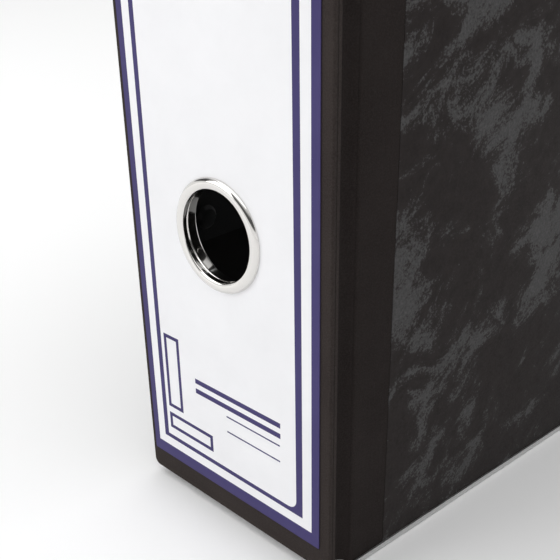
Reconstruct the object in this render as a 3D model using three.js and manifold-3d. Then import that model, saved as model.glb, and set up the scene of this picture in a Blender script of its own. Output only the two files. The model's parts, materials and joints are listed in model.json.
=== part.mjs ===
// Lever arch file, 80 mm spine, standing upright.
// Millimetres. +Z is up, the spine faces -Y, the front cover is on +X and the back cover, which
// carries the mechanism, is on -X. The origin is the centre of the bounding box's bottom.
import * as THREE from "three";
import { mergeVertices } from "three/addons/utils/BufferGeometryUtils.js";
import Module from "manifold-3d";

const wasm = await Module();
wasm.setup();

// ---- driving dimensions: case ----
const SPINE_WIDTH = 80; // outer width of the spine
const COVER_HEIGHT = 318; // from the floor to the top edge of a cover
const COVER_DEPTH = 285; // from the spine's outer face to the fore edge
const BOARD = 1.9; // grey board
const SKIN = 0.4; // cloth or marbled paper on the outside
const LINING = 0.3; // paper on the inside
const GLUE = 0.15; // glue line between a board and its papers
const SPINE_RISE = 3; // the spine's bottom edge above the floor
const SPINE_DROP = 1.5; // the spine's top edge below the covers' top
const JOINT_DEPTH = 8.8; // spine face to the near edge of a cover board
const CREASE_INSET = 1.5; // crease line in from the spine's side
const CREASE_DEPTH = 5; // crease line behind the spine's face
const CLOTH_DEPTH = 23; // how far the cloth reaches along a cover
const SEAM = 0.1; // between the cloth and the marbled paper
const TURN_IN = 12; // outer skin folded over to the inside
const FLARE = THREE.MathUtils.degToRad(6.3); // the front cover stands open by this much
const STRIP_METAL = 0.5; // bottom edge strips
const STRIP_FACE = 2.3; // how far a strip reaches up the outside
const STRIP_END = 1.5; // a strip's end in from the board's end

// ---- driving dimensions: label and finger ring ----
const LABEL = 0.2;
const LABEL_SIDE_LEFT = 2.14; // cloth showing beside the label, back cover side
const LABEL_SIDE_RIGHT = 3.58; // cloth showing beside the label, front cover side
const LABEL_END = 8.05; // cloth showing above and below the label
const RING_HEIGHT = 98; // centre of the finger ring above the floor
const RING_OFFSET = -0.9; // centre of the finger ring from the middle of the spine
const RING_BORE = 13.3; // radius of the finger hole
const RING_BEAD_WIDTH = 3.3; // from the hole to the bead's outer edge
const RING_WALL = 0.7;
const RING_BEAD = 1.2; // the bead stands this far out of the label
const WASHER_WIDTH = 4.5; // from the barrel to the washer's outer edge
const WASHER = 0.6;

// ---- driving dimensions: mechanism, from the back cover's lining and the spine's lining ----
const PLATE = 1.2;
const PLATE_LENGTH = 158; // along the spine
const PLATE_NEAR = 15; // near edge of the plate, from the spine's lining
const PLATE_MARGIN = 9; // plate beyond the posts, away from the spine
const PLATE_CORNER = 8;
const RIVET_INSET = 8; // rivets in from the plate's edges
const RIVET = 2; // radius of a rivet's shank
const RIVET_HEAD = 4.2;
const RIVET_HEAD_HEIGHT = 0.6;
const POST_SPACING = 80; // the standard filing hole distance
const POST_FROM_SPINE = 70;
const POST = 2.2; // radius
const POST_HEIGHT = 30;
const POST_FOOT = 4; // radius of the flange on the plate
const WIRE = 1.75; // radius of the arch wire
const BOW_FROM_SPINE = 24; // the bow's axle
const BOW_HEIGHT = 3.7;
const CRANK_HALF_WIDTH = 7; // the crank fits between the lever's cheeks
const WIRE_BEND = 3.5; // centre line radius of the crank's bends
const LEVER_FROM_SPINE = 48; // the lever's pivot
const LEVER_HEIGHT = 13;
const LEVER_LENGTH = 61; // pivot to the tip
const LEVER_LEAN = THREE.MathUtils.degToRad(33); // from upright, towards the spine
const LEVER_METAL = 1.2;
const LEVER_HALF_WIDTH = 10.4;
const LEVER_BOSS = 4.4; // radius of the cheeks round the pins
const LEVER_LIP = 3.4; // radius of the rolled lip at the tip
const CHEEK_REACH = 24; // the cheeks run into the blade this far from the pivot
const LEVER_TURN = 60; // degrees, closed to open
const BOW_TURN = 32; // degrees, closed to open
const ROLLER = 4.5; // radius
const PIN = 2; // radius of the lever's pin
const ROLLER_PIN = 1.6;
const SPRING = 0.6; // leaf spring's thickness
const SPRING_HALF_WIDTH = 4;
const SPRING_FOOT = 11; // the leaf's fixed end, beyond the lever's pivot
const SPRING_RIVET = 7; // the leaf's rivet, beyond the lever's pivot
const BAR_LENGTH = 176; // compressor bar
const BAR_WIDTH = 20;
const BAR_METAL = 1.2;
const BAR_HEIGHT = 7; // its underside above the lining
const CLIP_OUTER = 7; // radius of the bar's bushes
const CLIP_HEIGHT = 5;
const CLIP_NECK = 5; // radius of a bush where it passes through the bar
const CLIP_CHAMFER = 2;

// ---- clearances ----
const TOUCH = 0.15; // between pieces that rest on each other
const FIT = 0.3; // round a fixed shank, pin or barrel
const RUNNING = 0.25; // round a pin that turns, or between pieces that move past each other

// ---- derived sizes ----
const COVER_THICK = SKIN + GLUE + BOARD + GLUE + LINING;
const WALL = SKIN + GLUE; // outer surface to the board
const SKIN_BOTTOM = STRIP_METAL + TOUCH;
const BOARD_BOTTOM = SKIN_BOTTOM + WALL;
const BOARD_TOP = COVER_HEIGHT - WALL;
const BACK_INNER = COVER_THICK; // x of the back cover's inner face
const SPINE_INNER = COVER_THICK; // y of the spine's inner face
const SPINE_TOP = COVER_HEIGHT - SPINE_DROP;
const MID_HEIGHT = COVER_HEIGHT / 2;
const RING_X = SPINE_WIDTH / 2 + RING_OFFSET;
const RING_OUTER = RING_BORE + RING_BEAD_WIDTH;
const BARREL = RING_BORE + RING_WALL;
const WASHER_OUTER = BARREL + WASHER_WIDTH;
const PLATE_FAR = POST_FROM_SPINE + PLATE_MARGIN;
const ARCH_RADIUS = (POST_FROM_SPINE - BOW_FROM_SPINE) / 2;
const RATIO = BOW_TURN / LEVER_TURN;
const CRANK = (LEVER_FROM_SPINE - BOW_FROM_SPINE) / (1 + RATIO);
const ROLLER_ARM = LEVER_FROM_SPINE - BOW_FROM_SPINE - CRANK;
const CRANK_HEIGHT = LEVER_HEIGHT - ROLLER - WIRE - RUNNING;
const CHEEK_INNER = LEVER_HALF_WIDTH - LEVER_METAL;

// ---- looks of the materials ----
const look = (color, roughness, metalness = 0) => ({ color, roughness, metalness });
const CLOTH_LOOK = look(0x29252a, 0.85);
const PAPER_LOOK = look(0x2b2827, 0.7);
const BOARD_LOOK = look(0x8d8880, 0.95);
const LINING_LOOK = look(0x1e1c1c, 0.9);
const LABEL_LOOK = look(0xf4f4f6, 0.55);
const NICKEL_LOOK = look(0xd2d3d4, 0.18, 1);
const STEEL_LOOK = look(0xb4b6b8, 0.35, 1);
const LACQUER_LOOK = look(0x101011, 0.4);
const STRIP_LOOK = look(0xa6a6a6, 0.4, 1);
const PLASTIC_LOOK = look(0x202022, 0.5);

// ---- shape helpers ----
// A box from its lowest to its highest corner.
function block(low, high) {
  const size = high.map((value, i) => value - low[i]);
  const centre = high.map((value, i) => (value + low[i]) / 2);
  return new THREE.BoxGeometry(...size).translate(...centre);
}

// A geometry's triangles as a solid that can be cut and joined.
function solidOf(geometry) {
  const bare = geometry.clone();
  bare.deleteAttribute("normal");
  bare.deleteAttribute("uv");
  const merged = mergeVertices(bare, 1e-4);
  const mesh = new wasm.Mesh({
    numProp: 3,
    vertProperties: Float32Array.from(merged.attributes.position.array),
    triVerts: Uint32Array.from(merged.index.array),
  });
  return new wasm.Manifold(mesh);
}

function geometryOf(solid) {
  const mesh = solid.getMesh();
  const geometry = new THREE.BufferGeometry();
  geometry.setAttribute("position", new THREE.BufferAttribute(mesh.vertProperties, 3));
  geometry.setIndex(new THREE.BufferAttribute(mesh.triVerts, 1));
  const flat = geometry.toNonIndexed();
  flat.computeVertexNormals();
  return flat;
}

function cut(base, ...tools) {
  const start = solidOf(base);
  return geometryOf(tools.reduce((left, tool) => left.subtract(solidOf(tool)), start));
}

function join(first, ...others) {
  const start = solidOf(first);
  return geometryOf(others.reduce((whole, other) => whole.add(solidOf(other)), start));
}

// Round shapes are made along +Y and turned: onto +X through the covers, or onto +Z along the pins.
const ALONG_X = -Math.PI / 2;
const ALONG_Z = Math.PI / 2;
const onX = (geometry) => geometry.rotateZ(ALONG_X);
const onZ = (geometry) => geometry.rotateX(ALONG_Z);

// A round rod along X, Y or Z from one end to the other, through a centre line.
function rodX(radius, x0, x1, y, z, sides = 24) {
  const rod = onX(new THREE.CylinderGeometry(radius, radius, x1 - x0, sides));
  return rod.translate((x0 + x1) / 2, y, z);
}

function rodY(radius, x, y0, y1, z, sides = 48) {
  const rod = new THREE.CylinderGeometry(radius, radius, y1 - y0, sides);
  return rod.translate(x, (y0 + y1) / 2, z);
}

function rodZ(radius, x, y, z0, z1, sides = 24) {
  const rod = onZ(new THREE.CylinderGeometry(radius, radius, z1 - z0, sides));
  return rod.translate(x, y, (z0 + z1) / 2);
}

// A solid of revolution about +Y from pairs of radius and height.
function turned(pairs, sides = 24) {
  return new THREE.LatheGeometry(pairs.map(([radius, height]) => new THREE.Vector2(radius, height)), sides);
}

// A flat outline in the X, Y plane, given thickness along Z.
function profile(shape, z0, z1, curveSegments = 8) {
  const settings = { depth: z1 - z0, bevelEnabled: false, curveSegments };
  return new THREE.ExtrudeGeometry(shape, settings).translate(0, 0, z0);
}

// A strip of even thickness along a line of points, as a closed outline.
function stripShape(points, thickness) {
  const half = thickness / 2;
  const sideAt = (i) => {
    const from = points[Math.max(i - 1, 0)];
    const to = points[Math.min(i + 1, points.length - 1)];
    const along = to.clone().sub(from).normalize();
    return new THREE.Vector2(-along.y, along.x).multiplyScalar(half);
  };
  const left = points.map((point, i) => point.clone().add(sideAt(i)));
  const right = points.map((point, i) => point.clone().sub(sideAt(i)));
  return new THREE.Shape([...left, ...right.reverse()]);
}

// A wire's centre line: straight runs with a round bend at each sharp corner, sampled where it bends.
const SOFT_TURN = 0.3; // radians: a corner this slight is a step of a longer curve
class WireLine extends THREE.Curve {
  constructor(corners, bend, bendSteps) {
    super();
    this.points = [corners[0]];
    for (let i = 1; i < corners.length - 1; i += 1) {
      this.points.push(...this.bendPoints(corners[i - 1], corners[i], corners[i + 1], bend, bendSteps));
    }
    this.points.push(corners.at(-1));
  }

  bendPoints(before, corner, after, bend, bendSteps) {
    const arriving = corner.clone().sub(before).normalize();
    const leaving = after.clone().sub(corner).normalize();
    const turn = arriving.angleTo(leaving);
    if (turn < SOFT_TURN) return [corner];
    const reach = bend * Math.tan(turn / 2);
    const inward = leaving.clone().addScaledVector(arriving, -arriving.dot(leaving)).normalize();
    const start = corner.clone().addScaledVector(arriving, -reach);
    const centre = start.clone().addScaledVector(inward, bend);
    const steps = Math.max(2, Math.round((bendSteps * turn) / (Math.PI / 2)));
    return Array.from({ length: steps + 1 }, (_, k) => {
      const angle = (turn * k) / steps;
      const out = inward.clone().multiplyScalar(-Math.cos(angle) * bend);
      return centre.clone().add(out).addScaledVector(arriving, Math.sin(angle) * bend);
    });
  }

  getPointAt(u) {
    return this.points[Math.round(u * (this.points.length - 1))].clone();
  }

  getTangentAt(u) {
    const i = Math.round(u * (this.points.length - 1));
    const last = this.points.length - 1;
    const arriving = this.points[Math.max(i, 1)].clone().sub(this.points[Math.max(i, 1) - 1]).normalize();
    const next = Math.min(i, last - 1);
    const leaving = this.points[next + 1].clone().sub(this.points[next]).normalize();
    return arriving.add(leaving).normalize();
  }
}

// Round wire along a centre line.
function wire(line, radius, sides) {
  const section = new THREE.Shape(
    Array.from({ length: sides }, (_, i) => {
      const angle = (2 * Math.PI * i) / sides;
      return new THREE.Vector2(radius * Math.cos(angle), radius * Math.sin(angle));
    }),
  );
  const steps = line.points.length - 1;
  return new THREE.ExtrudeGeometry(section, { extrudePath: line, steps, bevelEnabled: false });
}

function piece(name, geometry, { color, roughness, metalness }) {
  const material = new THREE.MeshStandardMaterial({ color, roughness, metalness });
  const mesh = new THREE.Mesh(geometry, material);
  mesh.name = name;
  return mesh;
}

// ---- covers ----
// A cover is drawn as the back one: outer face on x = 0, inner face on x = COVER_THICK.
function boardHull(grow) {
  return block(
    [WALL - grow, JOINT_DEPTH + WALL - grow, BOARD_BOTTOM - grow],
    [WALL + BOARD + grow, COVER_DEPTH - WALL + grow, BOARD_TOP + grow],
  );
}

// Cloth or paper round a board, between two depths, with its edges folded to the inside.
function coverSkin(y0, y1, foldNear, foldFar) {
  const sheet = block([0, y0, SKIN_BOTTOM], [WALL + BOARD + WALL, y1, COVER_HEIGHT]);
  const inside = block(
    [WALL + BOARD, y0 + (foldNear ? TURN_IN : -1), SKIN_BOTTOM + TURN_IN],
    [WALL + BOARD + WALL + 1, y1 - (foldFar ? TURN_IN : -1), COVER_HEIGHT - TURN_IN],
  );
  return cut(sheet, boardHull(GLUE), inside);
}

function edgeStrip() {
  const thick = WALL + BOARD + WALL;
  const y0 = JOINT_DEPTH + STRIP_END;
  const y1 = COVER_DEPTH - STRIP_END;
  const outside = block([-TOUCH - STRIP_METAL, y0, 0], [thick + TOUCH + STRIP_METAL, y1, STRIP_FACE]);
  const slot = block([-TOUCH, y0 - 1, STRIP_METAL], [thick + TOUCH, y1 + 1, STRIP_FACE + 1]);
  return cut(outside, slot);
}

function coverLining() {
  return block(
    [WALL + BOARD + GLUE, JOINT_DEPTH + TURN_IN + SEAM, SKIN_BOTTOM + TURN_IN + SEAM],
    [COVER_THICK, COVER_DEPTH - TURN_IN - SEAM, COVER_HEIGHT - TURN_IN - SEAM],
  );
}

// The five pieces of a cover, with any holes through them.
function coverPieces(side, holes = []) {
  const parts = {
    board: [boardHull(0), BOARD_LOOK],
    cloth: [coverSkin(JOINT_DEPTH, CLOTH_DEPTH, true, false), CLOTH_LOOK],
    paper: [coverSkin(CLOTH_DEPTH + SEAM, COVER_DEPTH, false, true), PAPER_LOOK],
    lining: [coverLining(), LINING_LOOK],
    edge_strip: [edgeStrip(), STRIP_LOOK],
  };
  return Object.entries(parts).map(([name, [geometry, finish]]) => {
    const drilled = holes.length && name !== "edge_strip" ? cut(geometry, ...holes) : geometry;
    return piece(`${side}_${name}`, drilled, finish);
  });
}

// ---- mechanism: x is the height above the lining, y the distance from the spine, z from mid height ----
const mechanismPlace = new THREE.Vector3(BACK_INNER, SPINE_INNER, MID_HEIGHT);
const rivetYs = [PLATE_NEAR + RIVET_INSET, PLATE_FAR - RIVET_INSET];
const rivetZs = [-1, 1].map((side) => side * (PLATE_LENGTH / 2 - RIVET_INSET));
const PLATE_TOP = TOUCH + PLATE;

function plateBlank() {
  const half = PLATE_LENGTH / 2;
  const middle = (PLATE_NEAR + PLATE_FAR) / 2;
  const reach = (PLATE_FAR - PLATE_NEAR) / 2;
  const shape = new THREE.Shape();
  const corner = PLATE_CORNER;
  shape.absarc(half - corner, reach - corner, corner, 0, Math.PI / 2);
  shape.absarc(corner - half, reach - corner, corner, Math.PI / 2, Math.PI);
  shape.absarc(corner - half, corner - reach, corner, Math.PI, 1.5 * Math.PI);
  shape.absarc(half - corner, corner - reach, corner, 1.5 * Math.PI, 2 * Math.PI);
  const blank = new THREE.ExtrudeGeometry(shape, { depth: PLATE, bevelEnabled: false, curveSegments: 6 });
  return blank.rotateY(Math.PI / 2).translate(TOUCH, middle, 0);
}

// An ear that holds the lever's pin, standing on the plate.
function leverEar(z0, z1) {
  const crown = 4.2;
  const foot = 9;
  const shape = new THREE.Shape();
  shape.moveTo(TOUCH + PLATE / 2, LEVER_FROM_SPINE - foot);
  shape.lineTo(TOUCH + PLATE / 2, LEVER_FROM_SPINE + foot);
  shape.absarc(LEVER_HEIGHT, LEVER_FROM_SPINE, crown, Math.PI / 2, -Math.PI / 2, true);
  shape.closePath();
  const hole = rodZ(PIN + RUNNING, LEVER_HEIGHT, LEVER_FROM_SPINE, z0 - 1, z1 + 1);
  return cut(profile(shape, z0, z1), hole);
}

// A bridge over the bow's axle, formed up out of the plate.
function axleBridge(z0, z1) {
  const inner = WIRE + RUNNING;
  const outer = inner + PLATE;
  const shape = new THREE.Shape();
  const base = TOUCH + PLATE / 2;
  shape.moveTo(base, BOW_FROM_SPINE - outer);
  shape.lineTo(base, BOW_FROM_SPINE + outer);
  shape.absarc(BOW_HEIGHT, BOW_FROM_SPINE, outer, Math.PI / 2, -Math.PI / 2, true);
  shape.closePath();
  const tunnel = join(
    rodZ(inner, BOW_HEIGHT, BOW_FROM_SPINE, z0 - 1, z1 + 1),
    block([PLATE_TOP, BOW_FROM_SPINE - inner, z0 - 1], [BOW_HEIGHT, BOW_FROM_SPINE + inner, z1 + 1]),
  );
  return cut(profile(shape, z0, z1), tunnel);
}

function basePlate() {
  const ear = LEVER_HALF_WIDTH + RUNNING;
  const bridgeNear = 14;
  const bridgeWidth = 10;
  const shapes = [-1, 1].flatMap((side) => {
    const across = (a, b) => [side * a, side * b].sort((low, high) => low - high);
    return [
      leverEar(...across(ear, ear + LEVER_METAL)),
      axleBridge(...across(bridgeNear, bridgeNear + bridgeWidth)),
    ];
  });
  const holes = rivetYs.flatMap((y) => rivetZs.map((z) => rodX(RIVET + FIT, -1, PLATE_TOP + 1, y, z, 16)));
  return cut(join(plateBlank(), ...shapes), ...holes);
}

// A rivet through the plate and the back cover, with a head on each side.
function rivet() {
  const outside = -COVER_THICK - TOUCH;
  const inside = PLATE_TOP + TOUCH;
  const shape = turned(
    [
      [0, outside - RIVET_HEAD_HEIGHT],
      [RIVET_HEAD - 0.5, outside - RIVET_HEAD_HEIGHT],
      [RIVET_HEAD, outside],
      [RIVET, outside],
      [RIVET, inside],
      [RIVET_HEAD, inside],
      [RIVET_HEAD - 1.2, inside + 1.2],
      [0, inside + 1.5],
    ],
    16,
  );
  return onX(shape);
}

// The cone on an arch's end sits in the cone in the post's top.
const CONE_RADIUS = WIRE * 0.72;
const CONE_HEIGHT = CONE_RADIUS / Math.tan(THREE.MathUtils.degToRad(40));

function post() {
  const foot = PLATE_TOP + TOUCH;
  const shape = turned(
    [
      [0, foot],
      [POST_FOOT, foot],
      [POST_FOOT, foot + 1],
      [POST, foot + 1.6],
      [POST, POST_HEIGHT - 0.4],
      [POST - 0.4, POST_HEIGHT],
      [CONE_RADIUS + RUNNING, POST_HEIGHT],
      [0, POST_HEIGHT - CONE_HEIGHT - RUNNING],
    ],
    20,
  );
  return onX(shape);
}

// One wire: an arch at each end, the axle between them, and the crank under the lever's roller.
function archBow() {
  const halfPitch = POST_SPACING / 2;
  const shoulder = POST_HEIGHT + 6;
  const archSteps = 20;
  const tipGap = POST_HEIGHT + TOUCH;
  const arc = Array.from({ length: archSteps + 1 }, (_, i) => {
    const angle = (Math.PI * i) / archSteps;
    const y = POST_FROM_SPINE - ARCH_RADIUS + ARCH_RADIUS * Math.cos(angle);
    return new THREE.Vector2(shoulder + ARCH_RADIUS * Math.sin(angle), y);
  });
  const crankRun = Math.sqrt(CRANK ** 2 - (CRANK_HEIGHT - BOW_HEIGHT) ** 2);
  const half = [
    new THREE.Vector3(tipGap, POST_FROM_SPINE, halfPitch),
    ...arc.map((point) => new THREE.Vector3(point.x, point.y, halfPitch)),
    new THREE.Vector3(BOW_HEIGHT, BOW_FROM_SPINE, halfPitch),
    new THREE.Vector3(BOW_HEIGHT, BOW_FROM_SPINE, CRANK_HALF_WIDTH),
    new THREE.Vector3(CRANK_HEIGHT, BOW_FROM_SPINE + crankRun, CRANK_HALF_WIDTH),
  ];
  const mirrored = half.map((point) => new THREE.Vector3(point.x, point.y, -point.z)).reverse();
  const bent = new WireLine([...half, ...mirrored], WIRE_BEND, 5);
  const tips = [-1, 1].map((side) => {
    const cone = new THREE.ConeGeometry(CONE_RADIUS, CONE_HEIGHT, 12);
    const turnedDown = cone.rotateZ(Math.PI / 2);
    return turnedDown.translate(tipGap - CONE_HEIGHT / 2 + 0.02, POST_FROM_SPINE, side * halfPitch);
  });
  return join(wire(bent, WIRE, 10), ...tips);
}

// ---- lever ----
const leverDirection = new THREE.Vector2(Math.cos(LEVER_LEAN), -Math.sin(LEVER_LEAN));
const leverPivot = new THREE.Vector2(LEVER_HEIGHT, LEVER_FROM_SPINE);
const rollerCentre = new THREE.Vector2(LEVER_HEIGHT, LEVER_FROM_SPINE - ROLLER_ARM);

// A place on the lever: distance from the pivot along it, and to the side facing the spine.
function onLever(along, aside) {
  const sideways = new THREE.Vector2(-leverDirection.x, leverDirection.y);
  const spineward = new THREE.Vector2(sideways.y, sideways.x);
  return leverPivot.clone().addScaledVector(leverDirection, along).addScaledVector(spineward, aside);
}

// The handle in side view: a straight blade that ends in a rolled lip.
function leverBlade() {
  const curl = LEVER_LIP;
  const straightEnd = LEVER_LENGTH - curl;
  const start = [onLever(9, 4.6), onLever(16, 3.6), onLever(26, 1.8), onLever(38, 0.6)];
  const lip = Array.from({ length: 9 }, (_, i) => {
    const angle = (Math.PI * 1.25 * i) / 8;
    return onLever(straightEnd + curl * Math.sin(angle), curl - curl * Math.cos(angle));
  });
  const outline = stripShape([...start, ...lip], LEVER_METAL);
  return profile(outline, -LEVER_HALF_WIDTH, LEVER_HALF_WIDTH);
}

// A cheek carries the pin and the roller, and tapers into the blade.
function leverCheek(z0, z1) {
  const boss = LEVER_BOSS;
  const heel = rollerCentre.clone().sub(new THREE.Vector2(0, boss - 0.6));
  const corners = [
    onLever(-boss, 1),
    onLever(-boss * 0.6, -boss * 0.85),
    onLever(boss * 0.4, -boss),
    onLever(CHEEK_REACH, 1.2),
    onLever(CHEEK_REACH, 2.2),
    onLever(CHEEK_REACH / 2, 5.4),
    new THREE.Vector2(rollerCentre.x + boss, rollerCentre.y - 1.5),
    heel,
    new THREE.Vector2(rollerCentre.x - boss * 0.7, rollerCentre.y - 2),
    new THREE.Vector2(rollerCentre.x - boss * 0.8, rollerCentre.y + 2),
  ];
  const outline = new THREE.Shape(corners);
  const pinHole = rodZ(PIN + RUNNING, leverPivot.x, leverPivot.y, z0 - 1, z1 + 1);
  const rollerHole = rodZ(ROLLER_PIN + FIT, rollerCentre.x, rollerCentre.y, z0 - 1, z1 + 1);
  return cut(profile(outline, z0, z1), pinHole, rollerHole);
}

function lever() {
  const near = leverCheek(CHEEK_INNER, LEVER_HALF_WIDTH);
  const far = leverCheek(-LEVER_HALF_WIDTH, -CHEEK_INNER);
  return join(leverBlade(), near, far);
}

// A pin along Z with a head at each end.
function headedPin(radius, head, halfLength) {
  const rim = 0.8;
  const pairs = [
    [0, -halfLength - rim],
    [head, -halfLength - rim],
    [head, -halfLength],
    [radius, -halfLength],
    [radius, halfLength],
    [head, halfLength],
    [head, halfLength + rim],
    [0, halfLength + rim],
  ];
  return onZ(turned(pairs, 24));
}

function rollerTube() {
  const half = CHEEK_INNER - RUNNING;
  const bore = ROLLER_PIN + RUNNING;
  const pairs = [
    [bore, -half],
    [ROLLER - 0.5, -half],
    [ROLLER, -half + 0.5],
    [ROLLER, half - 0.5],
    [ROLLER - 0.5, half],
    [bore, half],
    [bore, -half],
  ];
  return onZ(turned(pairs, 24));
}

// The leaf spring lies on the plate, and its free end reaches up under the crank.
function leafSpring() {
  const flat = PLATE_TOP + TOUCH + SPRING / 2;
  const crankY = BOW_FROM_SPINE + CRANK;
  const lift = CRANK_HEIGHT - WIRE - RUNNING - SPRING;
  const line = [
    new THREE.Vector2(flat, LEVER_FROM_SPINE + SPRING_FOOT),
    new THREE.Vector2(flat, LEVER_FROM_SPINE + 2),
    new THREE.Vector2((flat + lift) / 2, LEVER_FROM_SPINE - 3),
    new THREE.Vector2(lift, crankY + 1.5),
    new THREE.Vector2(lift - 0.2, crankY - 1.5),
  ];
  const strip = profile(stripShape(line, SPRING), -SPRING_HALF_WIDTH, SPRING_HALF_WIDTH);
  return strip;
}

function springRivet() {
  const seat = PLATE_TOP + TOUCH + SPRING + TOUCH;
  const shape = turned(
    [
      [0, seat],
      [2.4, seat],
      [2.2, seat + 0.6],
      [0, seat + 1],
    ],
    16,
  );
  return onX(shape).translate(0, LEVER_FROM_SPINE + SPRING_RIVET, 0);
}

// ---- compressor bar ----
function compressorBar() {
  const half = BAR_LENGTH / 2;
  const reach = BAR_WIDTH / 2;
  const round = reach - 1;
  const shape = new THREE.Shape();
  shape.absarc(half - round, reach - round, round, 0, Math.PI / 2);
  shape.absarc(round - half, reach - round, round, Math.PI / 2, Math.PI);
  shape.absarc(round - half, round - reach, round, Math.PI, 1.5 * Math.PI);
  shape.absarc(half - round, round - reach, round, 1.5 * Math.PI, 2 * Math.PI);
  const strip = new THREE.ExtrudeGeometry(shape, { depth: BAR_METAL, bevelEnabled: false, curveSegments: 6 });
  strip.rotateY(Math.PI / 2).translate(BAR_HEIGHT, POST_FROM_SPINE, 0);
  const holes = [-1, 1].map((side) => {
    const z = (side * POST_SPACING) / 2;
    return rodX(CLIP_NECK + TOUCH, BAR_HEIGHT - 1, BAR_HEIGHT + BAR_METAL + 1, POST_FROM_SPINE, z);
  });
  return cut(strip, ...holes);
}

// A bush in the bar that grips a post: a collar above the bar and a neck through it.
function barBush() {
  const seat = BAR_HEIGHT + BAR_METAL + TOUCH;
  const bore = POST + RUNNING;
  const neck = CLIP_NECK - TOUCH;
  const pairs = [
    [bore, BAR_HEIGHT],
    [neck, BAR_HEIGHT],
    [neck, seat],
    [CLIP_OUTER, seat],
    [CLIP_OUTER, seat + CLIP_HEIGHT - CLIP_CHAMFER],
    [CLIP_OUTER - CLIP_CHAMFER, seat + CLIP_HEIGHT],
    [bore, seat + CLIP_HEIGHT],
    [bore, BAR_HEIGHT],
  ];
  return onX(turned(pairs, 24));
}

// ---- spine ----
function spineHole(radius, y0, y1) {
  return rodY(radius, RING_X, y0, y1, RING_HEIGHT);
}

function spinePieces() {
  const top = SPINE_TOP;
  const bottom = SPINE_RISE;
  const board = (grow) =>
    block(
      [WALL - grow, WALL - grow, bottom + WALL - grow],
      [SPINE_WIDTH - WALL + grow, WALL + BOARD + grow, top - WALL + grow],
    );
  const sheet = block([0, 0, bottom], [SPINE_WIDTH, WALL + BOARD + WALL, top]);
  const inside = block(
    [-1, WALL + BOARD, bottom + TURN_IN],
    [SPINE_WIDTH + 1, WALL + BOARD + WALL + 1, top - TURN_IN],
  );
  const lining = block(
    [WALL, WALL + BOARD + GLUE, bottom + TURN_IN + SEAM],
    [SPINE_WIDTH - WALL, SPINE_INNER, top - TURN_IN - SEAM],
  );
  const label = block(
    [LABEL_SIDE_LEFT, -TOUCH - LABEL, bottom + LABEL_END],
    [SPINE_WIDTH - LABEL_SIDE_RIGHT, -TOUCH, top - LABEL_END],
  );
  const hole = spineHole(BARREL + FIT, -2, SPINE_INNER + 2);
  return [
    piece("spine_board", cut(board(0), hole), BOARD_LOOK),
    piece("spine_cloth", cut(sheet, board(GLUE), inside, hole), CLOTH_LOOK),
    piece("spine_lining", cut(lining, hole), LINING_LOOK),
    piece("spine_label", cut(label, hole), LABEL_LOOK),
  ];
}

// The finger ring: a round bead outside, and a barrel through the spine.
function fingerRing() {
  const face = TOUCH + LABEL + TOUCH;
  const beadSteps = 6;
  const beadHalf = RING_BEAD_WIDTH / 2;
  const bead = Array.from({ length: beadSteps + 1 }, (_, i) => {
    const angle = (Math.PI * i) / beadSteps;
    const radius = RING_BORE + beadHalf - beadHalf * Math.cos(angle);
    return [radius, -face - RING_BEAD * Math.sin(angle)];
  });
  const barrelEnd = SPINE_INNER + TOUCH + WASHER + TOUCH;
  const pairs = [
    [BARREL, -face + 0.1],
    [BARREL, barrelEnd],
    [BARREL + 0.9, barrelEnd],
    [BARREL + 0.9, barrelEnd + 0.5],
    [RING_BORE + 0.3, barrelEnd + 0.5],
    [RING_BORE, barrelEnd],
    ...bead,
    [RING_OUTER, -face + 0.1],
    [BARREL, -face + 0.1],
  ];
  return turned(pairs, 48).translate(RING_X, 0, RING_HEIGHT);
}

function ringWasher() {
  const seat = SPINE_INNER + TOUCH;
  const bore = BARREL + FIT;
  const pairs = [
    [bore, seat],
    [WASHER_OUTER, seat],
    [WASHER_OUTER - 0.3, seat + WASHER],
    [bore, seat + WASHER],
    [bore, seat],
  ];
  return turned(pairs, 48).translate(RING_X, 0, RING_HEIGHT);
}

// The cloth across a crease, which lets the cover swing.
function creaseCloth(outerX, inwardX) {
  const thickness = SKIN + LINING;
  const x0 = Math.min(outerX, outerX + inwardX * thickness);
  return block(
    [x0, SPINE_INNER + FIT, SPINE_RISE],
    [x0 + thickness, JOINT_DEPTH - 2 * FIT, SPINE_TOP],
  );
}

// ---- assembly ----
const file = new THREE.Group();

const mechanismGroup = new THREE.Group();
mechanismGroup.position.copy(mechanismPlace);
mechanismGroup.add(piece("base_plate", basePlate(), LACQUER_LOOK));
const ends = { lower: 0, upper: 1 };
for (const [end, index] of Object.entries(ends)) {
  for (const [side, y] of Object.entries({ near: rivetYs[0], far: rivetYs[1] })) {
    const fastener = rivet().translate(0, y, rivetZs[index]);
    mechanismGroup.add(piece(`rivet_${end}_${side}`, fastener, LACQUER_LOOK));
  }
  const z = ((index ? 1 : -1) * POST_SPACING) / 2;
  mechanismGroup.add(piece(`post_${end}`, post().translate(0, POST_FROM_SPINE, z), NICKEL_LOOK));
  mechanismGroup.add(piece(`bar_bush_${end}`, barBush().translate(0, POST_FROM_SPINE, z), PLASTIC_LOOK));
}
const pinHalf = LEVER_HALF_WIDTH + RUNNING + LEVER_METAL + TOUCH;
const leverPin = headedPin(PIN, PIN + 1.2, pinHalf).translate(leverPivot.x, leverPivot.y, 0);
const rollerPin = headedPin(ROLLER_PIN, ROLLER_PIN, LEVER_HALF_WIDTH - 0.8);
rollerPin.translate(rollerCentre.x, rollerCentre.y, 0);
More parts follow.
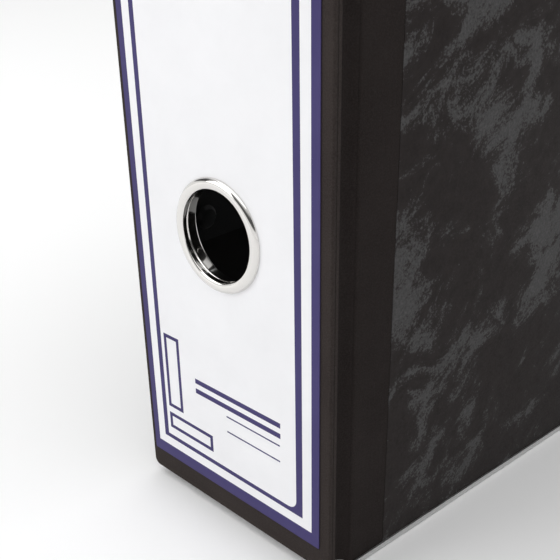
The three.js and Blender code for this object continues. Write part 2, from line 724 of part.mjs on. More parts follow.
mechanismGroup.add(
  piece("lever_pin", leverPin, STEEL_LOOK),
  piece("roller_pin", rollerPin, STEEL_LOOK),
  piece("lever_roller", rollerTube().translate(rollerCentre.x, rollerCentre.y, 0), NICKEL_LOOK),
  piece("lever", lever(), NICKEL_LOOK),
  piece("arch_bow", archBow(), NICKEL_LOOK),
  piece("leaf_spring", leafSpring(), STEEL_LOOK),
  piece("spring_rivet", springRivet(), LACQUER_LOOK),
  piece("compressor_bar", compressorBar(), STEEL_LOOK),
);

const rivetHoles = rivetYs.flatMap((y) =>
  rivetZs.map((z) => rodX(RIVET + FIT, -1, BACK_INNER + 1, SPINE_INNER + y, MID_HEIGHT + z, 16)),
);
file.add(...coverPieces("back", rivetHoles), mechanismGroup);

file.add(
  ...spinePieces(),
  piece("finger_ring", fingerRing(), NICKEL_LOOK),
  piece("ring_washer", ringWasher(), STEEL_LOOK),
  piece("back_crease_cloth", creaseCloth(0, 1), CLOTH_LOOK),
  piece("front_crease_cloth", creaseCloth(SPINE_WIDTH, -1), CLOTH_LOOK),
);

// The front cover is the back one mirrored, hung on its crease and left standing open.
const frontHinge = new THREE.Group();
frontHinge.position.set(SPINE_WIDTH - CREASE_INSET, CREASE_DEPTH, 0);
frontHinge.rotation.z = -FLARE;
const frontCover = new THREE.Group();
frontCover.scale.x = -1;
frontCover.position.set(CREASE_INSET, -CREASE_DEPTH, 0);
frontCover.add(...coverPieces("front"));
frontHinge.add(frontCover);
file.add(frontHinge);

// The whole file is moved so that its box stands centred on the origin.
const box = new THREE.Box3().setFromObject(file, true);
const centre = box.getCenter(new THREE.Vector3());
file.position.set(-centre.x, -centre.y, -box.min.z);

export default file;
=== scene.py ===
import json
import math

import bmesh
import bpy
from mathutils import Matrix, Vector


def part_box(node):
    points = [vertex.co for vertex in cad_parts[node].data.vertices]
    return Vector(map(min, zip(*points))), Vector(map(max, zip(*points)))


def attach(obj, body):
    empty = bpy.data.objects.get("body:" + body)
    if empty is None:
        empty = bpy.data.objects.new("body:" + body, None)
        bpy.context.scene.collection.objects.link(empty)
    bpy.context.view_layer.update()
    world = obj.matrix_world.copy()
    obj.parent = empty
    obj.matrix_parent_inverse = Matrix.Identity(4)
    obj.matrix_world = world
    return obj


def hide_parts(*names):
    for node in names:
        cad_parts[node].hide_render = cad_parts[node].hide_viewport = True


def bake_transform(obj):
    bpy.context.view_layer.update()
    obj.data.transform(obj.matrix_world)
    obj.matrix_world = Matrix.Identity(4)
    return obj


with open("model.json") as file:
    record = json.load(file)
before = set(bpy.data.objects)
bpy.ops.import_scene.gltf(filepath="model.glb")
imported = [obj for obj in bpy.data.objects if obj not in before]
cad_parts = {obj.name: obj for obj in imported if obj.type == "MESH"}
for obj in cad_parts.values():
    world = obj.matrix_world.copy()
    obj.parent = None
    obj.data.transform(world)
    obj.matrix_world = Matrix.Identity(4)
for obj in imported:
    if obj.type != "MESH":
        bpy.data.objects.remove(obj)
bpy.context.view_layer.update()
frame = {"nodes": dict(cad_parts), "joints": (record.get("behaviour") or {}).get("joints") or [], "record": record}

MM = 0.001

# ---- where things are, all from the frame ----
joints = {joint["name"]: joint for joint in frame["joints"]}
spine_low, spine_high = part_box("spine_cloth")
cloth_low, cloth_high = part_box("back_cloth")
paper_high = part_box("back_paper")[1]
label_low, label_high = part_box("spine_label")
ring_low, ring_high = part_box("finger_ring")
strip_low, strip_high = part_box("back_edge_strip")
front_crease = Vector(joints["front_cover_hinge"]["pos_m"])
flare = math.radians(-joints["front_cover_hinge"]["range_deg"][0])
ring_centre = (ring_low + ring_high) / 2
spine_mid_x = (spine_low.x + spine_high.x) / 2
COVER_THICK = cloth_high.x - cloth_low.x
slots = {row["node"]: row["material_slot"] for row in frame["record"]["subparts"]}

# ---- sizes of what is modelled here ----
SKIN = 0.4 * MM  # cloth and marbled paper
LAP = 12 * MM  # turned in behind a board
COVER_CORNER = 1.6 * MM
COVER_ROUNDING = 0.9 * MM
SPINE_CORNER = 2.4 * MM
SPINE_ROUNDING = 0.6 * MM
LEAST_CORNER = 0.05 * MM
PAPER_PROUD = 0.1 * MM  # the marbled paper's edge lies over the cloth
COVER_BOARD_CORNER = 1.1 * MM
SPINE_BOARD_CORNER = 1.9 * MM
STRIP_METAL = 0.5 * MM
STRIP_OUTER_BEND = 0.7 * MM
STRIP_INNER_BEND = 0.2 * MM
CREASE_LAP_SPINE = 1.3 * MM  # the crease cloth starts this far inside the spine's cloth
CREASE_LAP_COVER = 1.6 * MM
CREASE_PROUD = 0.03 * MM
CREASE_DIP = 2.2 * MM
CREASE_CLOTH = 0.5 * MM
CREASE_STEPS = 28
CREASE_LEVELS = 40
RING_HOLE = 14.3 * MM
HOLE_STEPS = 64
INK_HEIGHT = 0.02 * MM

# insets from the label's edges, in mm: left, bottom, right and top
SHEET_INSETS = (2.43, 4.28, 2.8, 4.28)
BAND_INSETS = (5.66, 7.56, 6.27, 7.56)
BAND_INNER_INSETS = (7.62, 9.08, 8.71, 9.08)
# bars on the label, in mm from the spine's left edge and the floor: left, bottom, right, top
# and, for an outline, the width of its line
MOTIF_BARS = (
    (11.2, 31.5, 18.4, 58.4, 1.25),
    (11.2, 23.2, 32.2, 29.2, 1.25),
    (25.4, 45.7, 61.8, 47.4),
    (25.4, 42.2, 61.8, 43.9),
    (39.2, 39.4, 61.5, 39.9),
    (39.2, 34.0, 61.5, 34.5),
)

# the finger ring's profile in pairs of radius and depth behind the label's face, in mm
RING_BEAD = (
    (16.6, 0.04), (16.58, -0.25), (16.4, -0.62), (16.1, -0.95), (15.7, -1.2), (15.25, -1.33),
    (14.8, -1.35), (14.35, -1.28), (13.95, -1.16), (13.62, -1.02), (13.44, -0.86), (13.4, -0.62),
)
RING_RIDGE = (
    (13.5, -0.2), (13.56, 0.3), (13.54, 0.7), (13.38, 0.86), (13.34, 0.98), (13.42, 1.08),
    (13.62, 1.16),
)

# widths in mm of the rounded edges on the metal and plastic nodes
SOFTENED = {
    "base_plate": 0.25, "lever": 0.3, "arch_bow": 0.15, "compressor_bar": 0.3, "bar_bush_lower": 0.4,
    "bar_bush_upper": 0.4, "lever_roller": 0.3, "roller_pin": 0.2, "lever_pin": 0.2, "leaf_spring": 0.15,
    "spring_rivet": 0.25, "post_lower": 0.3, "post_upper": 0.3, "rivet_lower_near": 0.25,
    "rivet_lower_far": 0.25, "rivet_upper_near": 0.25, "rivet_upper_far": 0.25, "ring_washer": 0.15,
}

# pairs of the sine of the height above the horizon, and brightness
WORLD_STOPS = ((0.0, 0.97), (0.16, 0.95), (0.26, 0.1), (0.52, 0.1), (0.7, 0.65), (1.0, 0.75))

# The front cover is the back one mirrored across the spine, then swung open by the flare.
MIRROR = Matrix.Translation((2 * spine_mid_x, 0, 0)) @ Matrix.Scale(-1, 4, (1, 0, 0))
SWING = (
    Matrix.Translation(front_crease)
    @ Matrix.Rotation(-flare, 4, "Z")
    @ Matrix.Translation(-front_crease)
)
TO_FRONT = SWING @ MIRROR


# ---- camera: the solved view of the spine's lower half, from the spine's outer left edge ----
def make_camera():
    azimuth, elevation, roll = 0.7723, 0.4261, -0.018
    place = Vector((199.544, -140.766, 181.052)) * MM + Vector((spine_low.x, spine_low.y, 0))
    forward = Vector((
        -math.sin(azimuth) * math.cos(elevation),
        math.cos(azimuth) * math.cos(elevation),
        -math.sin(elevation),
    ))
    level = Vector((math.cos(azimuth), math.sin(azimuth), 0))
    upright = level.cross(forward)
    right = level * math.cos(roll) + upright * math.sin(roll)
    up = upright * math.cos(roll) - level * math.sin(roll)
    data = bpy.data.cameras.new("camera")
    data.sensor_width = 36
    data.lens = 53.61
    data.clip_start = 0.01
    data.clip_end = 20
    camera = bpy.data.objects.new("camera", data)
    rotation = Matrix((right, up, -forward)).transposed().to_4x4()
    camera.matrix_world = Matrix.Translation(place) @ rotation
    bpy.context.scene.collection.objects.link(camera)
    bpy.context.scene.camera = camera


# ---- materials ----
def srgb(red, green, blue):
    """A colour given as the eye sees it, 0 to 255, in linear light."""
    def linear(value):
        value /= 255
        return value / 12.92 if value <= 0.04045 else ((value + 0.055) / 1.055) ** 2.4
    return (linear(red), linear(green), linear(blue), 1)


class Shader:
    """A material with its Principled shader, and short ways to add nodes to it."""

    def __init__(self, name, color, roughness, metallic=0.0, specular=0.5):
        self.material = bpy.data.materials.new(name)
        self.material.use_nodes = True
        self.material.diffuse_color = color
        self.tree = self.material.node_tree
        self.bsdf = self.tree.nodes["Principled BSDF"]
        self.bsdf.inputs["Base Color"].default_value = color
        self.bsdf.inputs["Roughness"].default_value = roughness
        self.bsdf.inputs["Metallic"].default_value = metallic
        self.bsdf.inputs["Specular IOR Level"].default_value = specular
        self.place = self.node("ShaderNodeTexCoord").outputs["Object"]

    def node(self, kind, **settings):
        made = self.tree.nodes.new(kind)
        for key, value in settings.items():
            setattr(made, key, value)
        return made

    def link(self, start, end):
        self.tree.links.new(start, end)

    def mapped(self, scale=(1, 1, 1), rotation=(0, 0, 0), location=(0, 0, 0), kind="POINT"):
        """The object's own coordinates, moved. A TEXTURE mapping turns and stretches the pattern itself."""
        made = self.node("ShaderNodeMapping", vector_type=kind)
        made.inputs["Scale"].default_value = scale
        made.inputs["Rotation"].default_value = rotation
        made.inputs["Location"].default_value = location
        self.link(self.place, made.inputs["Vector"])
        return made.outputs["Vector"]

    def noise(self, place, scale, detail=4.0, roughness=0.5, distortion=0.0):
        made = self.node("ShaderNodeTexNoise")
        made.inputs["Scale"].default_value = scale
        made.inputs["Detail"].default_value = detail
        made.inputs["Roughness"].default_value = roughness
        made.inputs["Distortion"].default_value = distortion
        self.link(place, made.inputs["Vector"])
        return made.outputs["Fac"]

    def wave(self, place, scale, direction, distortion=0.0):
        made = self.node("ShaderNodeTexWave", wave_type="BANDS", bands_direction=direction)
        made.inputs["Scale"].default_value = scale
        made.inputs["Distortion"].default_value = distortion
        self.link(place, made.inputs["Vector"])
        return made.outputs["Fac"]

    def ramp(self, value, *stops):
        """A ramp of (position, value or colour) stops."""
        made = self.node("ShaderNodeValToRGB")
        elements = made.color_ramp.elements
        while len(elements) < len(stops):
            elements.new(0.5)
        for element, (position, shade) in zip(elements, stops):
            element.position = position
            element.color = shade if isinstance(shade, tuple) else (shade, shade, shade, 1)
        self.link(value, made.inputs["Fac"])
        return made.outputs["Color"]

    def math(self, operation, first, second):
        made = self.node("ShaderNodeMath", operation=operation)
        for socket, value in zip(made.inputs, (first, second)):
            if isinstance(value, (int, float)):
                socket.default_value = value
            else:
                self.link(value, socket)
        return made.outputs["Value"]

    def mix(self, factor, first, second):
        made = self.node("ShaderNodeMix", data_type="RGBA")
        for key, value in (("Factor", factor), ("A", first), ("B", second)):
            socket = made.inputs[key]
            if isinstance(value, (int, float, tuple)):
                socket.default_value = value
            else:
                self.link(value, socket)
        return made.outputs["Result"]

    def paint(self, color):
        self.link(color, self.bsdf.inputs["Base Color"])

    def rough(self, value):
        self.link(value, self.bsdf.inputs["Roughness"])

    def bump(self, height, distance, strength=1.0):
        made = self.node("ShaderNodeBump")
        made.inputs["Distance"].default_value = distance
        made.inputs["Strength"].default_value = strength
        self.link(height, made.inputs["Height"])
        self.link(made.outputs["Normal"], self.bsdf.inputs["Normal"])


def cloth_material(name, low, high, fibre):
    """Black book cloth: a fine plain weave, with the fibres catching a little light."""
    made = Shader(name, low, 0.9, specular=0.1)
    thread = 1 / (0.55 * MM)
    warp = made.wave(made.place, thread / 6.28, "Z", 0.6)
    weft = made.wave(made.mapped(rotation=(0, 0, math.radians(45))), thread / 6.28, "X", 0.6)
    grain = made.noise(made.place, 2400, 3, 0.65)
    weave = made.math("MULTIPLY", made.math("ADD", warp, weft), 0.3)
    tone = made.noise(made.place, 60, 5, 0.6)
    shade = made.ramp(tone, (0.3, low), (0.7, high))
    fleck = made.ramp(grain, (0.4, 0.0), (0.75, 0.6))
    made.paint(made.mix(fleck, shade, fibre))
    made.bump(made.math("ADD", weave, grain), 0.06 * MM, 0.7)
    return made.material


def marbled_material():
    """Black paper with grey clouds dragged up and along the cover, printed in a broken grain."""
    made = Shader("marbled_paper", srgb(38, 32, 31), 0.62, specular=0.16)
    streak = made.mapped(rotation=(math.radians(36), 0, 0), scale=(1, 1.85, 1), kind="TEXTURE")
    cloud = made.noise(streak, 84, 11, 0.7, 0.5)
    cluster = made.noise(made.mapped(location=(0.31, 0.22, 0.05)), 26, 2, 0.5, 0.5)
    speck = made.noise(made.place, 1250, 3, 0.7)
    field = made.math("ADD", cloud, made.math("MULTIPLY", made.math("SUBTRACT", cluster, 0.5), 0.5))
    field = made.math("ADD", field, made.math("MULTIPLY", made.math("SUBTRACT", speck, 0.5), 0.3))
    solid = made.ramp(field, (0.54, 0.0), (0.585, 0.8), (0.72, 1.0))
    haze = made.ramp(field, (0.46, 0.0), (0.56, 0.08))
    strength = made.math("MAXIMUM", solid, haze)
    stars = made.noise(made.place, 620, 2, 0.5)
    strength = made.math("MAXIMUM", strength, made.ramp(stars, (0.745, 0.0), (0.775, 0.9)))
    tone = made.noise(made.place, 260, 4, 0.6)
    dark = made.ramp(tone, (0.35, srgb(27, 21, 20)), (0.65, srgb(34, 28, 27)))
    pale = made.ramp(speck, (0.3, srgb(56, 56, 57)), (0.7, srgb(82, 81, 81)))
    made.paint(made.mix(strength, dark, pale))
    made.rough(made.ramp(speck, (0.3, 0.54), (0.7, 0.7)))
    made.bump(made.noise(made.place, 1800, 4, 0.6), 0.03 * MM, 0.45)
    return made.material


def paper_material(name, low, high, roughness=0.75, specular=0.3):
    """Plain paper: cloudy tone and a fine fibre bump."""
    made = Shader(name, low, roughness, specular=specular)
    made.paint(made.ramp(made.noise(made.place, 45, 5, 0.6), (0.3, low), (0.7, high)))
    made.bump(made.noise(made.place, 2200, 4, 0.65), 0.02 * MM, 0.35)
    return made.material


def board_material():
    made = Shader("grey_board", srgb(140, 134, 126), 0.95, specular=0.1)
    fleck = made.noise(made.place, 700, 4, 0.7)
    made.paint(made.ramp(fleck, (0.35, srgb(120, 115, 108)), (0.65, srgb(156, 150, 142))))
    made.bump(fleck, 0.06 * MM, 0.6)
    return made.material


def metal_material(name, color, roughness, grain, direction=None):
    """Plated or brushed metal: cloudy roughness, and a fine brushed grain where it has a direction."""
    made = Shader(name, color, roughness, metallic=1.0)
    cloudy = made.noise(made.place, 120, 4, 0.6)
    made.rough(made.ramp(cloudy, (0.3, roughness * 0.85), (0.7, roughness * 1.2)))
    if direction:
        brushed = made.noise(made.mapped(scale=direction), 3000, 3, 0.6)
        made.bump(brushed, grain * MM, 0.5)
    else:
        made.bump(made.noise(made.place, 500, 3, 0.5), grain * MM, 0.25)
    return made.material


def plastic_material():
    made = Shader("black_plastic", srgb(36, 36, 38), 0.5, specular=0.45)
    made.rough(made.ramp(made.noise(made.place, 200, 4, 0.6), (0.3, 0.42), (0.7, 0.58)))
    made.bump(made.noise(made.place, 3000, 2, 0.5), 0.02 * MM, 0.4)
    return made.material


def shade_black_lacquer_material():
    """Satin black lacquer over pressed steel, with a faint orange peel. The black is painted shade: it darkens the
    mechanism seen through the finger ring.
    """
    made = Shader("black_lacquer", srgb(28, 28, 30), 0.42, specular=0.35)
    made.rough(made.ramp(made.noise(made.place, 160, 4, 0.6), (0.3, 0.36), (0.7, 0.5)))
    made.bump(made.noise(made.place, 900, 2, 0.5), 0.02 * MM, 0.35)
    return made.material


# Two copies of the same black cloth: the one on the covers and creases is painted darker as painted shade, and the
# spine's copy, its fibres too, is painted lighter as painted light.
CLOTH_PAINTED_SHADE = cloth_material("book_cloth", srgb(33, 28, 27), srgb(39, 34, 33), srgb(52, 48, 46))
SPINE_CLOTH_PAINTED_LIGHT = cloth_material("book_cloth_spine_painted_light", srgb(45, 39, 38), srgb(53, 47, 45), srgb(71, 65, 62))
MARBLED = marbled_material()
# The lining paper is made near black as painted shade, so that the file's inside looks dark through the finger
# ring.
LINING_PAINTED_SHADE = paper_material("lining_paper", srgb(36, 34, 34), srgb(50, 48, 47), 0.85, 0.12)
LABEL = paper_material("label_paper", srgb(236, 236, 238), srgb(241, 241, 243), 0.65, 0.25)
INK = paper_material("label_ink", srgb(62, 55, 102), srgb(68, 61, 109), 0.6, 0.2)
GREY_BOARD = board_material()
NICKEL = metal_material("nickel_plate", srgb(222, 220, 217), 0.09, 0.01)
LACQUER_PAINTED_SHADE = shade_black_lacquer_material()
ZINC = metal_material("zinc_plate", srgb(186, 189, 192), 0.32, 0.02)
STRIP = metal_material("strip_metal", srgb(198, 198, 198), 0.38, 0.02, (1, 0.05, 1))
SPRING = metal_material("spring_steel", srgb(120, 120, 124), 0.35, 0.02, (1, 0.05, 1))
PLASTIC = plastic_material()


# ---- mesh helpers ----
def add_piece(name, bm, material, slot, matrix=None, sharp_angle=32):
    """The mesh as a piece of the object, smooth but for its sharp edges."""
    if matrix is not None:
        bmesh.ops.transform(bm, matrix=matrix, verts=bm.verts)
    bmesh.ops.remove_doubles(bm, verts=bm.verts, dist=1e-7)
    bmesh.ops.recalc_face_normals(bm, faces=bm.faces)
    mesh = bpy.data.meshes.new(name)
    bm.to_mesh(mesh)
    bm.free()
    mesh.polygons.foreach_set("use_smooth", [True] * len(mesh.polygons))
    mesh.set_sharp_from_angle(angle=math.radians(sharp_angle))
    mesh.materials.append(material)
    piece = bpy.data.objects.new(name, mesh)
    bpy.context.scene.collection.objects.link(piece)
    return piece


def ring_of(bm, points):
    return [bm.verts.new(point) for point in points]


def loft(bm, rings):
    """Faces between closed rings that have as many points as each other."""
    for first, second in zip(rings, rings[1:]):
        for i in range(len(first)):
            j = (i + 1) % len(first)
            bm.faces.new((first[i], first[j], second[j], second[i]))


def fill_with_holes(bm, *loops):
    """A flat face inside the first loop and outside the others."""
    edges = []
    for loop in loops:
        for i, vert in enumerate(loop):
            after = loop[(i + 1) % len(loop)]
            edges.append(bm.edges.get((vert, after)) or bm.edges.new((vert, after)))
    bmesh.ops.triangle_fill(bm, use_beauty=True, use_dissolve=False, edges=edges)


def corner_arc(centre, radius, start, steps):
    """Points of a quarter circle from an angle, as pairs."""
    return [
        (
            centre[0] + radius * math.cos(start + math.pi / 2 * k / steps),
            centre[1] + radius * math.sin(start + math.pi / 2 * k / steps),
        )
        for k in range(steps + 1)
    ]


def round_rectangle(low, high, radii, steps=6):
    """Pairs round a rectangle, from its top right corner, with four corner radii."""
    places = ((1, 1), (0, 1), (0, 0), (1, 0))
    pairs = []
    for turn, ((right, top), radius) in enumerate(zip(places, radii)):
        centre = (
            high[0] - radius if right else low[0] + radius,
            high[1] - radius if top else low[1] + radius,
        )
        pairs += corner_arc(centre, radius, turn * math.pi / 2, steps)
    return pairs


def circle(centre, radius, count):
    return [
        (
            centre[0] + radius * math.cos(2 * math.pi * k / count),
            centre[1] + radius * math.sin(2 * math.pi * k / count),
        )
        for k in range(count)
    ]


def edge_profile(thickness, rounding, lap, steps=4):
    """The way round a wrapped edge, from the turned-in lip to the outer face: pairs of inset and depth.
    Depth 0 is the outer face."""
    pairs = [(lap, thickness)]
    for k in range(steps + 1):
        angle = math.pi / 2 * k / steps
        pairs.append((rounding * (1 - math.sin(angle)), thickness - rounding * (1 - math.cos(angle))))
    for k in range(steps + 1):
        angle = math.pi / 2 * k / steps
        pairs.append((rounding * (1 - math.cos(angle)), rounding * (1 - math.sin(angle))))
    return pairs


def wrapped_shell(low, high, thickness, corner, rounding, place, hole=None):
    """A sheet folded round a board: outer face, round edges and turned-in laps, as one closed shell.
    low and high are the face's corners in its plane, and place turns (across, up, depth) into a point."""
    bm = bmesh.new()

    def level(inset, depth):
        radius = max(corner - inset, LEAST_CORNER)
        pairs = round_rectangle(
            (low[0] + inset, low[1] + inset), (high[0] - inset, high[1] - inset), [radius] * 4
        )
        return ring_of(bm, [place(a, b, depth) for a, b in pairs])

    outside = [level(inset, depth) for inset, depth in edge_profile(thickness, rounding, LAP)]
    inner = edge_profile(thickness - 2 * SKIN, rounding - SKIN, LAP - SKIN)
    inside = [level(inset + SKIN, depth + SKIN) for inset, depth in inner]
    loft(bm, outside)
    loft(bm, inside)
    loft(bm, [outside[0], inside[0]])
    if hole:
        holes = [ring_of(bm, [place(a, b, depth) for a, b in hole]) for depth in (0, SKIN)]
        fill_with_holes(bm, outside[-1], holes[0])
        fill_with_holes(bm, inside[-1], holes[1])
        loft(bm, holes)
    else:
        bm.faces.new(outside[-1])
        bm.faces.new(inside[-1])
    return bm


def keep_side(bm, y, beyond):
    """Cuts the shell across at y and keeps the side beyond it, or the side before it."""
    parts = bm.verts[:] + bm.edges[:] + bm.faces[:]
    cut = bmesh.ops.bisect_plane(
        bm, geom=parts, dist=1e-7, plane_co=(0, y, 0), plane_no=(0, 1, 0),
        clear_inner=beyond, clear_outer=not beyond,
    )
    edges = [part for part in cut["geom_cut"] if isinstance(part, bmesh.types.BMEdge)]
    bmesh.ops.triangle_fill(bm, use_beauty=True, use_dissolve=False, edges=edges)
    return bm


def ring_hole():
    """Pairs of x and z round the hole for the finger ring's barrel."""
    return circle((ring_centre.x, ring_centre.z), RING_HOLE, HOLE_STEPS)


def turned(profile, centre, count):
    """A ring turned about the Y direction from a closed profile of (radius, y) pairs."""
    bm = bmesh.new()
    rings = []
    for k in range(count):
        angle = 2 * math.pi * k / count
        rings.append(ring_of(bm, [
            (centre.x + radius * math.cos(angle), y, centre.z + radius * math.sin(angle))
            for radius, y in profile
        ]))
    loft(bm, rings + [rings[0]])
    return bm


def slab_with_holes(outline, holes, y_front, y_back):
    """A flat sheet across the spine, from pairs of x and z, with holes through it."""
    bm = bmesh.new()
    fronts, backs = [], []
    for pairs in (outline, *holes):
        fronts.append(ring_of(bm, [(x, y_front, z) for x, z in pairs]))
        backs.append(ring_of(bm, [(x, y_back, z) for x, z in pairs]))
        loft(bm, [fronts[-1], backs[-1]])
    fill_with_holes(bm, *fronts)
    fill_with_holes(bm, *backs)
    return bm


# ---- covers ----
def cover_shell(grow):
    """The whole wrap of the back cover, standing out by grow."""
    def place(a, b, depth):
        return (cloth_low.x - grow + depth, a, b)
    low = (cloth_low.y - grow, cloth_low.z)
    high = (paper_high.y + grow, paper_high.z)
    return wrapped_shell(low, high, COVER_THICK + 2 * grow, COVER_CORNER, COVER_ROUNDING, place)


def make_cover(side, matrix):
    """The cloth, marbled paper and bottom strip of a cover. The matrix takes the back one's to its place."""
    parts = (
        ("cover_cloth", "cloth", keep_side(cover_shell(0), cloth_high.y, False), CLOTH_PAINTED_SHADE, "cloth"),
        (
            "cover_paper", "paper", keep_side(cover_shell(PAPER_PROUD), cloth_high.y, True),
            MARBLED, "marbled_paper",
        ),
        ("bottom_strip", "edge_strip", strip_mesh(), STRIP, "strip_metal"),
    )
    for name, node, mesh, material, slot in parts:
        piece = add_piece(f"{side}_{name}", mesh, material, slot, matrix)
        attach(piece, f"{side}_cover")
        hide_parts(f"{side}_{node}")


def channel_side(half, floor, bend, steps):
    """One skin of the strip's channel, from its left lip down, across and up to its right lip."""
    turns = quarter(steps)
    pairs = [(-half, strip_high.z)]
    pairs += [(-half + bend * (1 - math.cos(t)), floor + bend * (1 - math.sin(t))) for t in turns]
    pairs += [(half - bend * (1 - math.sin(t)), floor + bend * (1 - math.cos(t))) for t in turns]
    pairs.append((half, strip_high.z))
    return pairs


def strip_mesh():
    """A channel of sheet metal along the bottom edge, with round outer edges."""
    mid = (strip_low.x + strip_high.x) / 2
    half = (strip_high.x - strip_low.x) / 2
    outer = channel_side(half, 0, STRIP_OUTER_BEND, 5)
    inner = channel_side(half - STRIP_METAL, STRIP_METAL, STRIP_INNER_BEND, 3)
    pairs = outer + inner[::-1]
    bm = bmesh.new()
    rings = [ring_of(bm, [(mid + x, y, z) for x, z in pairs]) for y in (strip_low.y, strip_high.y)]
    loft(bm, rings)
    for ring in rings:
        bm.faces.new(ring)
    return bm


def quarter(steps):
    return [math.pi / 2 * k / steps for k in range(steps + 1)]


# ---- boards ----
def board_slab(node, across, corner, hole=None):
    """The CAD board with round corners: across is the axis through its thickness, 0 or 1."""
    low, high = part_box(node)
    flat = 1 - across
    outline = round_rectangle((low[flat], low.z), (high[flat], high.z), [corner] * 4)
    bm = slab_with_holes(outline, [hole] if hole else [], low[across], high[across])
    if across == 0:
        for vert in bm.verts:
            vert.co.x, vert.co.y = vert.co.y, vert.co.x
    return bm


def make_boards():
    for side, matrix in (("back", None), ("front", TO_FRONT)):
        slab = board_slab("back_board", 0, COVER_BOARD_CORNER)
        board = add_piece(f"{side}_board_core", slab, GREY_BOARD, "grey_board", matrix)
        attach(board, f"{side}_cover")
        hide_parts(f"{side}_board")
    slab = board_slab("spine_board", 1, SPINE_BOARD_CORNER, ring_hole())
    board = add_piece("spine_board_core", slab, GREY_BOARD, "grey_board")
    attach(board, "spine")
    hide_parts("spine_board")


# ---- creases ----
def crease_mesh():
    """The cloth across the back crease: it dips between the spine and the cover in a soft gutter."""
    start = spine_low.y + CREASE_LAP_SPINE
    end = cloth_low.y + CREASE_LAP_COVER
    outside, inside = [], []
    for k in range(CREASE_STEPS + 1):
        share = k / CREASE_STEPS
        y = start + (end - start) * share
        depth = CREASE_DIP * math.sin(math.pi * share) ** 2 - CREASE_PROUD
        outside.append((spine_low.x + depth, y))
        inside.append((spine_low.x + depth + CREASE_CLOTH, y))
    pairs = outside + inside[::-1]
    bm = bmesh.new()
    rings = []
    for i in range(CREASE_LEVELS + 1):
        level = i / CREASE_LEVELS
        rings.append(ring_of(bm, [(x, y, crease_height(y, start, end, level)) for x, y in pairs]))
    loft(bm, rings)
    bm.faces.new(rings[0])
    bm.faces.new(rings[-1])
    return bm, start, end


def crease_height(y, start, end, level):
    """The strip starts clear of the spine's round corners and ends clear of the cover's."""
    share = (y - start) / (end - start)
    low = (spine_low.z + SPINE_CORNER) * (1 - share) + (cloth_low.z + COVER_CORNER) * share
    high = (spine_high.z - SPINE_CORNER) * (1 - share) + (cloth_high.z - COVER_CORNER) * share
    return low + (high - low) * level


def make_creases():
    bm, start, end = crease_mesh()
    piece = add_piece("back_crease", bm, CLOTH_PAINTED_SHADE, "cloth", sharp_angle=60)
    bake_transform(piece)
    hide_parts("back_crease_cloth")
    bm, start, end = crease_mesh()
    bmesh.ops.transform(bm, matrix=MIRROR, verts=bm.verts)
    for vert in bm.verts:
        share = min(max((vert.co.y - start) / (end - start), 0), 1)
        turn = Matrix.Rotation(-flare * share * share * (3 - 2 * share), 4, "Z")
        vert.co = front_crease + turn @ (vert.co - front_crease)
    piece = add_piece("front_crease", bm, CLOTH_PAINTED_SHADE, "cloth", sharp_angle=60)
    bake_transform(piece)
    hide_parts("front_crease_cloth")


# ---- spine ----
def make_spine():
    def place(a, b, depth):
        return (a, spine_low.y + depth, b)
    shell = wrapped_shell(
        (spine_low.x, spine_low.z), (spine_high.x, spine_high.z), spine_high.y - spine_low.y,
        SPINE_CORNER, SPINE_ROUNDING, place, ring_hole(),
    )
    piece = add_piece("spine_cover_cloth", shell, SPINE_CLOTH_PAINTED_LIGHT, "cloth")
    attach(piece, "spine")
    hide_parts("spine_cloth")


def label_outline(left, bottom, right, top, radii):
    """Pairs round a rectangle on the label, inset by these amounts from its edges."""
    return round_rectangle(
        (label_low.x + left * MM, label_low.z + bottom * MM),
        (label_high.x - right * MM, label_high.z - top * MM),
        [radius * MM for radius in radii],
    )


def add_print(name, pieces_of):
    """Ink on the label, from (outline, holes) pairs, as one thin raised piece."""
    joined = bmesh.new()
    for outline, holes in pieces_of:
        part = slab_with_holes(outline, holes, label_low.y - INK_HEIGHT, label_low.y)
        mesh = bpy.data.meshes.new("part")
        part.to_mesh(mesh)
        part.free()
        joined.from_mesh(mesh)
        bpy.data.meshes.remove(mesh)
    piece = add_piece(name, joined, INK, "label_paper")
    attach(piece, "spine")


def bar(left, bottom, right, top, line=None):
    """A bar in mm from the spine's lower left corner, solid, or an outline of that line width."""
    def pairs(inset):
        return round_rectangle(
            (spine_low.x + (left + inset) * MM, (bottom + inset) * MM),
            (spine_low.x + (right - inset) * MM, (top - inset) * MM),
            [0.05 * MM] * 4, 2,
        )
    return (pairs(0), [pairs(line)] if line else [])


def make_label():
    """The outer frame runs to the label's edges, and the sheet lies inside it."""
    square = [0.05] * 4
    inside = label_outline(*SHEET_INSETS, square)
    frame_mesh = slab_with_holes(
        label_outline(0, 0, 0, 0, [0.4] * 4), [inside], label_low.y - INK_HEIGHT, label_high.y
    )
    outer = add_piece("label_frame_outer", frame_mesh, INK, "label_paper")
    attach(outer, "spine")
    sheet = slab_with_holes(inside, [ring_hole()], label_low.y, label_high.y)
    piece = add_piece("label_sheet", sheet, LABEL, "label_paper")
    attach(piece, "spine")
    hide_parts("spine_label")
    band_hole = label_outline(*BAND_INNER_INSETS, [3.2, 0.05, 0.05, 3.2])
    add_print("label_frame_inner", [(label_outline(*BAND_INSETS, square), [band_hole])])
    add_print("label_motif", [bar(*sizes) for sizes in MOTIF_BARS])


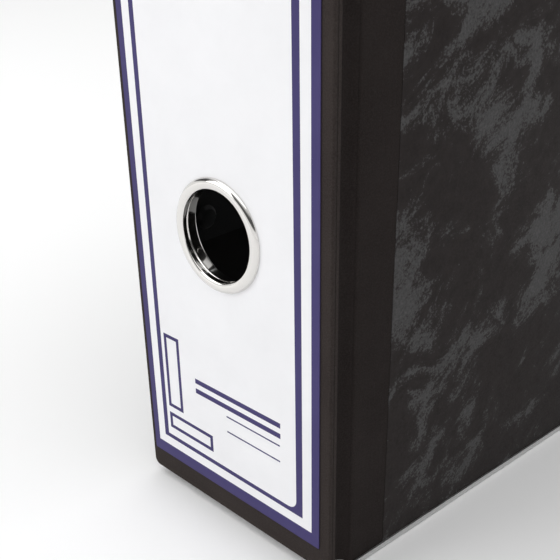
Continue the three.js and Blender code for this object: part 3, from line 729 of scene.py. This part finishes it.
# ---- finger ring ----
def make_ring():
    """A rolled bead on the label, a small ridge just inside it, and a barrel that ends in a rolled lip."""
    face = label_low.y
    back = ring_high.y
    depth = (back - face) / MM
    barrel = [(13.66, depth - 0.8), (13.8, depth - 0.3), (14.1, depth), (14.7, depth), (15.0, depth - 0.3)]
    outside = [(14.9, depth - 0.5), (14.3, depth - 0.55), (14.05, depth - 0.9), (14.05, 0.1), (14.3, 0.04)]
    pairs = [*RING_BEAD, *RING_RIDGE, *barrel, *outside]
    profile = [(radius * MM, face + y * MM) for radius, y in pairs]
    mesh = turned(profile, ring_centre, 128)
    piece = add_piece("spine_finger_ring", mesh, NICKEL, "nickel", sharp_angle=50)
    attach(piece, "spine")
    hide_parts("finger_ring")


# ---- CAD metal and plastic, with softened edges ----
def soften_nodes():
    """Each metal or plastic node again, in its own place, with small rounded edges."""
    held = frame["record"]["behaviour"]["bodies"]
    bodies = {name: body for body, names in held.items() for name in names}
    for name, width in SOFTENED.items():
        bm = bmesh.new()
        bm.from_mesh(frame["nodes"][name].data)
        for layer in list(bm.loops.layers.uv):
            bm.loops.layers.uv.remove(layer)
        bmesh.ops.remove_doubles(bm, verts=bm.verts, dist=1e-6)
        bmesh.ops.dissolve_limit(
            bm, angle_limit=math.radians(1), verts=bm.verts, edges=bm.edges, delimit={"NORMAL"}
        )
        piece = add_piece(f"{name}_softened", bm, NODE_MATERIALS[slots[name]], slots[name], sharp_angle=40)
        bevel = piece.modifiers.new("soft_edges", "BEVEL")
        bevel.width = width * MM
        bevel.segments = 3
        bevel.limit_method = "ANGLE"
        bevel.angle_limit = math.radians(40)
        bevel.use_clamp_overlap = True
        bevel.harden_normals = True
        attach(piece, bodies[name])
        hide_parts(name)


# ---- stage ----
def make_stage():
    bpy.ops.mesh.primitive_plane_add(size=8, location=(0, 0, 0))
    floor = bpy.context.object
    floor.name = "floor"
    made = Shader("floor_white", (0.96, 0.96, 0.96, 1), 0.9, specular=0.05)
    floor.data.materials.append(made.material)
    make_world()
    bpy.context.scene.view_settings.view_transform = "Standard"


def make_world():
    """A plain studio: pale at the horizon and overhead, with a darker band between that metal reflects."""
    world = bpy.data.worlds.new("studio")
    bpy.context.scene.world = world
    world.use_nodes = True
    tree = world.node_tree
    split = tree.nodes.new("ShaderNodeSeparateXYZ")
    tree.links.new(tree.nodes.new("ShaderNodeTexCoord").outputs["Generated"], split.inputs["Vector"])
    height = tree.nodes.new("ShaderNodeValToRGB")
    stops = height.color_ramp.elements
    while len(stops) < len(WORLD_STOPS):
        stops.new(0.5)
    for stop, (position, shade) in zip(stops, WORLD_STOPS):
        stop.position = position
        stop.color = (shade, shade, shade, 1)
    tree.links.new(split.outputs["Z"], height.inputs["Fac"])
    tree.links.new(height.outputs["Color"], tree.nodes["Background"].inputs["Color"])


def area_light(name, place, target, size, energy):
    data = bpy.data.lights.new(name, "AREA")
    data.shape = "SQUARE"
    data.size = size
    data.energy = energy
    light = bpy.data.objects.new(name, data)
    light.location = place
    light.rotation_mode = "QUATERNION"
    light.rotation_quaternion = (Vector(target) - Vector(place)).to_track_quat("-Z", "Y")
    bpy.context.scene.collection.objects.link(light)


def make_lights():
    data = bpy.data.lights.new("sky", "SUN")
    data.energy = 1.3
    data.angle = math.radians(75)
    sky = bpy.data.objects.new("sky", data)
    bpy.context.scene.collection.objects.link(sky)
    area_light("key", (-0.9, -1.3, 0.9), (spine_mid_x, spine_low.y, 0.1), 1.0, 9.5)


# ---- materials of the CAD nodes that show ----
NODE_MATERIALS = {
    "grey_board": GREY_BOARD, "cloth": CLOTH_PAINTED_SHADE, "marbled_paper": MARBLED, "lining_paper": LINING_PAINTED_SHADE,
    "label_paper": LABEL, "nickel": NICKEL, "black_lacquer": LACQUER_PAINTED_SHADE, "zinc_steel": ZINC,
    "strip_metal": STRIP, "spring_steel": SPRING, "black_plastic": PLASTIC,
}


def dress_cad_nodes():
    for name, node in frame["nodes"].items():
        node.data.materials.clear()
        node.data.materials.append(NODE_MATERIALS[slots[name]])


make_camera()
dress_cad_nodes()
make_cover("back", None)
make_cover("front", TO_FRONT)
make_boards()
make_creases()
make_spine()
make_label()
make_ring()
soften_nodes()
make_stage()
make_lights()
